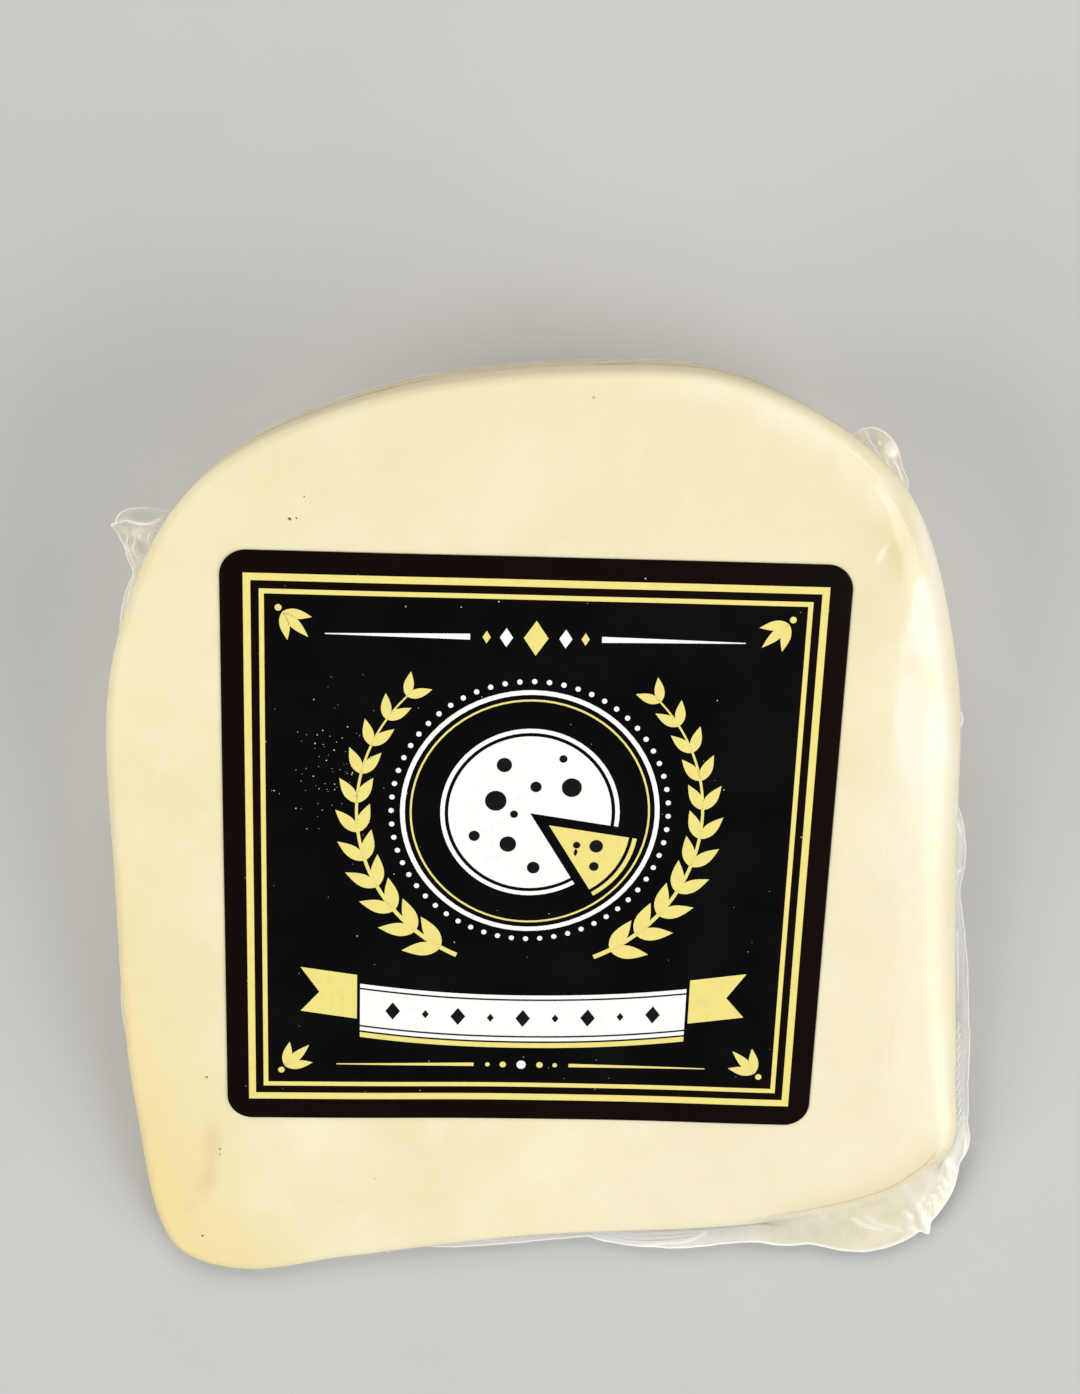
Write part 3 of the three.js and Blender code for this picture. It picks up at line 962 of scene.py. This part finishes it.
def ripple_film(rings, ripples):
    """The film's rings with the waves of its right side."""
    across, outward = face_place(rings)
    loose = right_side(across, outward, RIPPLE_START) * above_half(rings, 1.3)
    height = RIPPLE * ripples.height(across, outward) * loose
    height *= 1 - smooth_step(outward, *RIPPLE_FADE)
    rings[..., 2] += np.maximum(height, -FILM_GAP / 2)
    return rings


class FreeFilm:
    """Shape of the film that stands out beyond the wall, on the upper or lower side of it.

    Where it stands far out from a thin part of the wedge, its upper side is stretched taut.
    """

    def __init__(self, st, side):
        self.st = st
        self.side = side
        self.reach, self.milk, self.cream = film_reach(st.along)
        self.stretch = smooth_step(self.reach, 2.6, 5.5) * (1 - smooth_step(st.half, 5, 9)) * (side > 0)
        self.level = st.half - st.round
        self.root = np.minimum(SEAM_HALF + 0.3 * self.reach, 0.8 * self.level)
        self.tent, self.tent_up = self.stretched(0.0, self.root, TENT_ROOT)
        self.free = np.clip((self.reach - SEAM_REACH) / 3, 0, 1)

    def stretched(self, out, up, share):
        """Places between the cut edge and the free edge, moved to a straight line where the film is taut."""
        start = -self.st.round * (1 - math.sin(TENT_TURN))
        top = self.st.half - self.st.round * (1 - math.cos(TENT_TURN))
        line_out = start + (self.reach - start) * share
        return out + (line_out - out) * self.stretch, up + (top * (1 - share) - up) * self.stretch

    def up_wall(self, share):
        """Height at a share of the way up the wall from the seam's root to the rounded cut edge."""
        return self.root + (self.level - self.root) * share

    def out(self, share):
        """Distance out from the outline at a share of the way to the free edge."""
        return self.tent + (self.reach - self.tent) * share

    def bead(self, share):
        """1 along the free edge, less where hardly any film stands out."""
        inward = (self.reach - self.tent) * (1 - share)
        width = BEAD_WIDTH * (0.65 + 0.35 * smooth_step(self.reach, 2.5, 5.0))
        return np.exp(-((inward / width) ** 2)) * np.clip(self.free * 4, 0.5, 1)

    def crease(self, share):
        return crease_field(self.st.along, self.out(share)) * np.clip(self.free * 4, 0, 1)

    def point(self, share, lift=0.0):
        """Points of the film's surface, which swings, folds and thins towards its edge."""
        out = self.out(share)
        droop = (1 - share) ** (2.2 - 1.2 * self.stretch)
        thick = FILM_HALF + FILM_BEAD * self.bead(share) + (self.tent_up - FILM_HALF) * droop
        wave = np.sin(self.st.along / 2.1 + 0.5 * out) + 0.6 * np.sin(self.st.along / 1.2 - 0.4 * out + 1.0)
        height = spot_fields(self.st.along, out)[1]
        fold = 0.16 * self.free * share * wave + CREASE_HEIGHT * self.crease(share) + height
        return self.st.wall(out, self.side * (thick + lift) + fold)


class FilmHalf:
    """The film of one side, from a cut face to its free edge, as rings with the tones of each."""

    def __init__(self, st, side, wrinkles):
        self.st = st
        self.side = side
        self.wrinkles = wrinkles
        self.free = FreeFilm(st, side)
        creamy = smooth_step(self.free.cream, 0.1, 0.5)
        self.clouded = self.free.milk * creamy * smooth_step(self.free.reach, 2.5, 5.0) * (side > 0)
        self.rings = []
        self.tones = {"milk": [], "bright_edge": [], "tan": []}

    def add(self, ring, **tones):
        self.rings.append(ring)
        for name, values in self.tones.items():
            values.append(tones.get(name, np.zeros(len(self.st.along))))

    def cover_face(self, shares):
        for ring in face_rings(self.st, self.side, shares, 0.0, FILM_DENTED):
            self.add(ring)

    def cover_edge(self, steps):
        """Round the cut edge, with painted shade in tan on the film beside the flap."""
        corner = between(self.st.along, *FLAP_EDGE_SHADE_ON_FILM) * (self.side > 0)
        for step, ring in enumerate(edge_rings(self.st, self.side, steps, 0.0, FILM_DENTED, self.free), 1):
            turn = step / steps
            # Painted shade: tan, milky film along the cut edge beside the flap.
            tan = corner * math.exp(-(((turn - 0.05) / 0.3) ** 2))
            milk = np.maximum(self.clouded * smooth_step(turn, -0.05, 0.1), 0.9 * tan)
            self.add(ring, milk=milk, tan=0.8 * tan)

    def cover_wall(self, steps):
        """Down the wall to the seam's root, milky on its wrinkles and on the rim."""
        rim = 0.08 + 0.2 * smooth_step(self.st.outward[:, 1], 0.1, 0.6)
        for share in np.linspace(1, 0, steps + 1)[1:]:
            stand = self.wrinkles.out(self.st.along, share)
            line_share = TENT_ROOT + (TENT_EDGE - TENT_ROOT) * share
            out, up = self.free.stretched(stand, self.free.up_wall(share), line_share)
            ridge = 0.4 * smooth_step(stand, 0.03, 0.25)
            milk = np.maximum(self.clouded, ridge + rim * smooth_step(1 - share, 0.28, 0.45))
            self.add(self.st.wall(out, self.side * up), milk=milk)

    def stand_out(self, steps):
        """Out to the free edge, by rings that draw closer, with spots, creases and a bright bead."""
        free = self.free
        for share in 1 - (1 - np.linspace(0, 1, steps + 1)[1:]) ** 1.3:
            spot = spot_fields(self.st.along, free.out(share))[0]
            start = np.maximum(self.clouded, free.milk * min(1, share * 5))
            milk = np.clip(start * (1 + np.minimum(spot, 0)) + np.maximum(spot, 0), 0, 1)
            bright = 0.95 * free.bead(share) + 0.4 * free.crease(share) + 0.8 * np.maximum(spot, 0)
            self.add(free.point(share), milk=milk, bright_edge=bright)


def film_half(st, side, wrinkles, face_shares, edge_steps, wall_steps, free_steps):
    half = FilmHalf(st, side, wrinkles)
    half.cover_face(face_shares)
    half.cover_edge(edge_steps)
    half.cover_wall(wall_steps)
    half.stand_out(free_steps)
    return half


def build_film(wrinkles):
    """The film over both faces and round the wall, with the free film along the seam."""
    st = Stations(film_stations())
    top_shares = np.r_[np.linspace(0.15, 0.65, 4), np.linspace(0.7, 1, 20)]
    upper = film_half(st, 1, wrinkles, top_shares, edge_steps=13, wall_steps=9, free_steps=20)
    lower = film_half(st, -1, wrinkles, np.linspace(0.2, 1, 4), edge_steps=5, wall_steps=5, free_steps=10)
    rings = ripple_film(np.array(upper.rings + lower.rings[::-1]), Ripples(RIPPLE_COUNT))
    film = ring_object("film_bag", rings, face_middles(0.0), film_material())
    for name, tones in upper.tones.items():
        set_attribute(film, name, tones + lower.tones[name][::-1])
    cream = np.maximum(upper.free.cream, 0.8 * smooth_step(st.outward[:, 1], 0.1, 0.6))
    set_attribute(film, "cream", np.broadcast_to(cream, rings.shape[:2]))
    set_attribute(film, "haze_and_highlight", film_haze_and_highlight(rings))
    return film


def smooth_line(line):
    """Closely spaced places along a line of points, with its corners eased."""
    spacing = 0.15
    easings = 6
    points = np.array(line, float)
    lengths = np.r_[0, np.cumsum(np.hypot(*np.diff(points, axis=0).T))]
    at = np.linspace(0, lengths[-1], max(8, int(lengths[-1] / spacing)))
    places = np.stack([np.interp(at, lengths, points[:, k]) for k in (0, 1)], 1)
    for _ in range(easings):
        places[1:-1] = (places[:-2] + 2 * places[1:-1] + places[2:]) / 4
    return places


def on_free_film(places):
    """Points just over the free film, by distance along the outline and out from it."""
    free = FreeFilm(Stations(places[:, 0]), 1)
    share = np.clip((places[:, 1] - free.tent) / (free.reach - free.tent), 0, 0.99)
    return free.point(share, STRIP_LIFT)


def strip_object(name, groups, material):
    """Narrow pointed strips along lines.

    A group has its lines, the width of their strips and how places along a line become points.
    """
    points = []
    faces = []
    for lines, width, place in groups:
        for strength, line in lines:
            middle = smooth_line(line)
            way = np.gradient(middle, axis=0)
            way /= np.linalg.norm(way, axis=1)[:, None]
            taper = np.sin(math.pi * np.linspace(0.02, 0.98, len(middle))) ** 0.6
            half = (width / 2 * strength * taper)[:, None] * np.c_[-way[:, 1], way[:, 0]]
            first = sum(len(p) for p in points)
            points += [place(middle + half), place(middle - half)]
            count = len(middle)
            start = np.arange(first, first + count - 1)
            faces += np.stack([start, start + 1, start + count + 1, start + count], 1).tolist()
    return add_object(name, np.vstack(points), faces, material)


def on_rim(places, wrinkles):
    """Points just over the film of the rim, by distance along the outline and height up its wall."""
    st = Stations(places[:, 0])
    share = places[:, 1] / RIM_HEIGHT
    stand = wrinkles.out(st.along, share[:, None])
    return st.wall(stand + STRIP_LIFT, FreeFilm(st, 1).up_wall(share))


def build_folds(wrinkles):
    """The sharp creases of the film and painted shade along its folds, as narrow strips on it."""
    white = (0.95, 0.95, 0.94, 1)
    # The brown strips are painted shade along the folds of the film and its rim.
    brown = (0.42, 0.33, 0.20, 1)
    crease = fold_material("film_crease", white, 0.15, scale=700, broken=(0.32, 0.6), cover=(0.35, 0.95))
    shade = fold_material("film_shade", brown, 0.4, scale=260, broken=(0.34, 0.62), cover=(0.15, 0.75))
    rim_lines = [(strength, np.array(line) * (1, RIM_HEIGHT)) for strength, line in RIM_SHADES]
    rim = (rim_lines, RIM_STRIP, partial(on_rim, wrinkles=wrinkles))
    return [
        strip_object("film_creases", [(ALL_CREASES, CREASE_STRIP, on_free_film)], crease),
        strip_object("film_shades", [(FILM_SHADES, SHADE_STRIP, on_free_film), rim], shade),
    ]


# Label and its print.
def build_label():
    """The label's sheet, which follows the face, with a margin outside its printed frame."""
    edge = rounded_square(LABEL_SIDE, LABEL_CORNER)
    soft_edge = edge * (1 - LABEL_BEVEL / (LABEL_SIDE / 2))
    inner = np.linspace(0.04, 0.84, 22)
    shares = np.r_[inner, np.linspace(0.862, 0.99, 5), 0.998, 1]
    bottom = LABEL_TOP - LABEL_THICK
    rings = [label_point(*(soft_edge * share).T, LABEL_TOP) for share in shares]
    rings.append(label_point(*edge.T, LABEL_TOP - LABEL_BEVEL))
    rings += [label_point(*(edge * share).T, bottom) for share in shares[::-1]]
    ends = [label_point(np.zeros(1), np.zeros(1), lift)[0] for lift in (LABEL_TOP, bottom)]
    label = ring_object("label_sheet", rings, ends, label_material())
    margin = np.r_[np.zeros(len(inner)), np.ones(len(rings) - len(inner))]
    set_attribute(label, "margin", np.repeat(margin, len(edge)))
    return label


class Print:
    """Flat shapes on the label, gathered into one mesh."""

    def __init__(self, name, lift, material):
        self.name = name
        self.lift = LABEL_TOP + lift
        self.material = material
        self.points = []
        self.faces = []

    def strip(self, first, second, closed=False):
        """A band between two rows of points, the first on the right when going along it."""
        start = len(self.points)
        count = len(first)
        self.points += [tuple(p) for p in first] + [tuple(p) for p in second]
        for i in range(count if closed else count - 1):
            n = (i + 1) % count
            self.faces.append((start + i, start + n, start + count + n, start + count + i))

    def fan(self, outline):
        """A filled outline, anticlockwise, all of which can be seen from its middle."""
        start = len(self.points)
        outline = np.asarray(outline, float)
        self.points.append(tuple(outline.mean(0)))
        self.points += [tuple(p) for p in outline]
        count = len(outline)
        for i in range(count):
            self.faces.append((start, start + 1 + i, start + 1 + (i + 1) % count))

    def ring(self, middle, outer, inner, start=0.0, end=360.0):
        steps = max(8, int(abs(end - start) / 5))
        turns = np.radians(np.linspace(start, end, steps + 1))
        way = np.c_[np.cos(turns), np.sin(turns)]
        self.strip(np.array(middle) + way * outer, np.array(middle) + way * inner)

    def disc(self, middle, radius, steps=36):
        turns = np.arange(steps) / steps * 2 * math.pi
        self.fan(np.array(middle) + radius * np.c_[np.cos(turns), np.sin(turns)])

    def diamond(self, u, v, wide, tall):
        self.fan([(u + wide, v), (u, v + tall), (u - wide, v), (u, v - tall)])

    def leaf(self, base, turn, length, width):
        """A pointed leaf from its base."""
        t = np.linspace(0, 1, 9)[:, None]
        way = np.array([math.cos(turn), math.sin(turn)])
        left = np.array([-way[1], way[0]])
        spine = np.array(base) + length * t * way
        half = width / 2 * np.sin(math.pi * t**0.8) * left
        self.strip(spine - half, spine + half)

    def rule(self, start, end, thick_start, thick_end, steps=14):
        """A straight rule that may taper."""
        t = np.linspace(0, 1, steps)[:, None]
        way = np.array(end, float) - np.array(start)
        line = np.array(start) + way * t
        normal = np.array([-way[1], way[0]]) / np.linalg.norm(way)
        half = (thick_start + (thick_end - thick_start) * t) / 2 * normal
        self.strip(line - half, line + half)

    def build(self):
        points = np.array(self.points)
        placed = label_point(points[:, 0], points[:, 1], self.lift)
        return add_object(self.name, placed, self.faces, self.material, smooth=False)


def square_line(ink, inset, width):
    """A square line inside the label's edge."""
    steps = 36
    t = np.linspace(-1, 1, steps, endpoint=False)
    one = np.ones(steps)
    around = np.r_[np.c_[t, -one], np.c_[one, t], np.c_[-t, one], np.c_[-one, -t]]
    outer = LABEL_SIDE / 2 - inset
    ink.strip(around * outer, around * (outer - width), closed=True)


def print_frame(yellow):
    square_line(yellow, inset=2.8, width=0.9)
    square_line(yellow, inset=4.7, width=0.6)


def round_about(middle, turn, away):
    """A point at a turn in degrees and a distance from a middle."""
    at = math.radians(turn)
    return middle[0] + away * math.cos(at), middle[1] + away * math.sin(at)


def print_sector(ink, middle, start, end):
    """A sector of the round cheese, with the thin line that lies round it."""
    inner, outer = RIND_LINE
    ink.ring(middle, WHEEL_RADIUS, 0.0, start, end)
    ink.ring(middle, WHEEL_RADIUS + outer, WHEEL_RADIUS + inner, start, end)


def print_wheel(white, yellow, black):
    """A round cheese seen from above, with one wedge drawn out of it."""
    tip = round_about(WHEEL_MIDDLE, (CUT_START + CUT_END) / 2, CUT_OUT)
    print_sector(white, WHEEL_MIDDLE, CUT_END, CUT_START + 360)
    print_sector(yellow, tip, CUT_START, CUT_END)
    for middle, holes in ((WHEEL_MIDDLE, WHEEL_HOLES), (tip, WEDGE_HOLES)):
        for turn, away, radius in holes:
            black.disc(round_about(middle, turn, away), radius, steps=20)


def print_medallion(white, yellow):
    """Rings round the cheese, with a border of dots."""
    white.ring(WHEEL_MIDDLE, outer=16.2, inner=15.6)
    yellow.ring(WHEEL_MIDDLE, outer=15.0, inner=14.75)
    for i in range(DOT_COUNT):
        white.disc(round_about(WHEEL_MIDDLE, i / DOT_COUNT * 360, DOT_CIRCLE), radius=0.34, steps=10)


def print_stem(ink, side):
    """A sprig's stem, which thins upward."""
    steps = 40
    turns = np.radians(np.linspace(-66, 46, steps))
    way = np.c_[side * np.cos(turns), np.sin(turns)]
    half = side * np.linspace(0.3, 0.1, steps)[:, None]
    ink.strip(*(np.array(WHEEL_MIDDLE) + way * (SPRIG_RADIUS + off) for off in (half, -half)))


def print_sprigs(yellow):
    """A leafy sprig up each side of the medallion."""
    for side in (1, -1):
        print_stem(yellow, side)
        for share in np.arange(SPRIG_LEAVES) / (SPRIG_LEAVES - 1):
            turn = math.radians(-60 + 104 * share)
            base = (side * SPRIG_RADIUS * math.cos(turn), WHEEL_MIDDLE[1] + SPRIG_RADIUS * math.sin(turn))
            size = 1 - 0.35 * share
            for lean in (-0.62, 0.5):
                along = turn + math.pi / 2 + lean
                heading = along if side > 0 else math.pi - along
                yellow.leaf(base, heading, length=5.0 * size, width=1.9 * size)


def print_top(white, yellow):
    """Diamonds between two tapered rules, above the medallion."""
    v = 28.0
    yellow.diamond(0, v, wide=1.5, tall=2.2)
    for side in (1, -1):
        white.diamond(side * 3.6, v, wide=0.8, tall=1.2)
        yellow.diamond(side * 6.0, v, wide=0.5, tall=0.8)
        white.rule((side * 8.0, v), (side * 25.5, v), thick_start=0.75, thick_end=0.12)


def ribbon_edge(u, v):
    """A height across the ribbon, which bows down a little at its middle."""
    return v - RIBBON_BOW * (1 - (u / RIBBON_BOW_HALF) ** 2)


def print_tails(ink):
    """The notched tails at both ends of the ribbon."""
    low, high = RIBBON_LOW, RIBBON_HIGH
    for side in (1, -1):
        inner, outer, notch = side * 21.4, side * 28.6, side * 26.2
        tail = [(inner, low + 1.5), (outer, low + 2.6), (notch, (low + high) / 2 + 2.0), (outer, high + 2.2),
                (inner, high + 1.1)]
        ink.fan(tail[::side])


def print_ribbon(white, yellow, black):
    """A bowed ribbon with lines along its edges, a gilt edge below it and a row of diamonds on it."""
    u = np.linspace(-21, 21, 43)
    bands = (
        (white, RIBBON_LOW, RIBBON_HIGH),
        (yellow, RIBBON_LOW - 0.95, RIBBON_LOW - 0.25),
        (black, RIBBON_LOW + 0.55, RIBBON_LOW + 0.77),
        (black, RIBBON_HIGH - 0.77, RIBBON_HIGH - 0.55),
    )
    for ink, low, high in bands:
        ink.strip(np.c_[u, ribbon_edge(u, low)], np.c_[u, ribbon_edge(u, high)])
    print_tails(yellow)
    pitch = 4.2
    for i in range(-4, 5):
        size = 0.95 if i % 2 == 0 else 0.45
        height = ribbon_edge(i * pitch, (RIBBON_LOW + RIBBON_HIGH) / 2)
        black.diamond(i * pitch, height, wide=size, tall=size * 1.3)


def print_foot(white, yellow):
    """A short rule with dots, under the ribbon."""
    v = -30.2
    white.disc((0, v), radius=0.6, steps=20)
    for side in (1, -1):
        yellow.disc((side * 2.4, v), radius=0.42, steps=16)
        yellow.disc((side * 4.4, v), radius=0.3, steps=16)
        yellow.rule((side * 6.2, v), (side * 24.0, v), thick_start=0.5, thick_end=0.14)


def print_corners(yellow):
    """Three small leaves and a dot in each corner of the frame."""
    at = 30.6
    for side in (1, -1):
        for end in (1, -1):
            inward = math.atan2(-end, -side)
            for lean, length in ((-0.62, 3.6), (0, 4.4), (0.62, 3.6)):
                yellow.leaf((side * at, end * at), inward + lean, length, width=1.25)
            yellow.disc((side * (at + 0.5), end * (at + 0.5)), radius=0.42, steps=14)


def build_print():
    """The label's print: a frame, a round cheese in a medallion, sprigs, a ribbon and small ornaments."""
    white_ink = ink_material("white_ink", (0.90, 0.90, 0.89, 1), (0.80, 0.80, 0.79, 1))
    yellow_ink = ink_material("yellow_ink", (0.79, 0.69, 0.215, 1), (0.73, 0.63, 0.21, 1))
    black_ink = ink_material("black_ink", (0.0012, 0.0012, 0.0012, 1), (0.003, 0.003, 0.003, 1))
    white = Print("print_white", INK, white_ink)
    yellow = Print("print_yellow", INK, yellow_ink)
    black = Print("print_black", 2 * INK, black_ink)
    print_frame(yellow)
    print_wheel(white, yellow, black)
    print_medallion(white, yellow)
    print_sprigs(yellow)
    print_top(white, yellow)
    print_ribbon(white, yellow, black)
    print_foot(white, yellow)
    print_corners(yellow)
    return [white.build(), yellow.build(), black.build()]


def build_dust():
    """Tiny pale specks on the label, with a cluster on its left."""
    material = speck_material("pale_dust", (0.75, 0.73, 0.66, 1), (0.55, 0.53, 0.48, 1))
    dust = Print("label_dust", 3 * INK, material)
    spread = draws.uniform(-DUST_REACH, DUST_REACH, (DUST_COUNT, 2))
    cluster = np.array(CLUSTER_PLACE) + draws.normal(0, 1, (CLUSTER_COUNT, 2)) * CLUSTER_SPREAD
    for place in np.vstack([spread, cluster]):
        dust.disc(place, 0.035 + 0.06 * draws.random() ** 3, steps=6)
    return dust.build()


# Stage.
def add_floor():
    mesh = bpy.data.meshes.new("floor")
    corners = np.array([(-1, -1, 0), (1, -1, 0), (1, 1, 0), (-1, 1, 0)]) * FLOOR_REACH + (0, 0, FLOOR_HEIGHT)
    mesh.from_pydata(corners.tolist(), [], [(0, 1, 2, 3)])
    mesh.materials.append(floor_material())
    floor = put_in_scene("floor", mesh)


def add_light(name, toward, distance, size, power, colour, glossy):
    """A round soft light that faces the part, with or without a reflection of its own."""
    light = bpy.data.lights.new(name, "AREA")
    light.shape = "DISK"
    light.size = size
    light.energy = power
    light.color = colour
    obj = put_in_scene(name, light)
    x, y, z = np.array(toward) / np.linalg.norm(toward)
    obj.location = (x * distance, y * distance, z * distance)
    obj.rotation_euler = (0, math.acos(z), math.atan2(y, x))
    obj.visible_glossy = glossy


def light_scene():
    world = bpy.data.worlds.new("studio")
    world.use_nodes = True
    background = world.node_tree.nodes["Background"]
    background.inputs[0].default_value = SKY_COLOUR
    background.inputs[1].default_value = SKY_STRENGTH
    bpy.context.scene.world = world
    for light in LIGHTS:
        add_light(*light)
    bpy.context.scene.view_settings.view_transform = "Standard"


def add_camera():
    camera = bpy.data.cameras.new("camera")
    camera.sensor_width = SENSOR
    camera.lens = FOCAL_PIXELS * SENSOR / PICTURE_HEIGHT
    camera.clip_start = 0.01
    obj = put_in_scene("camera", camera)
    obj.location = to_row(CAMERA_PLACE)
    obj.rotation_euler = CAMERA_TURN
    bpy.context.scene.camera = obj


def carry(piece, node=None):
    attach(piece, "root")
    if node:
        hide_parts(node)


carry(build_cheese(), "wrapped_wedge")
carry(build_specks())
wrinkles = Wrinkles(WRINKLE_COUNT)
carry(build_film(wrinkles), "wrapped_wedge")
for piece in build_folds(wrinkles):
    carry(piece)
carry(build_label(), "label")
for piece in build_print():
    carry(piece)
carry(build_dust())
add_floor()
light_scene()
add_camera()
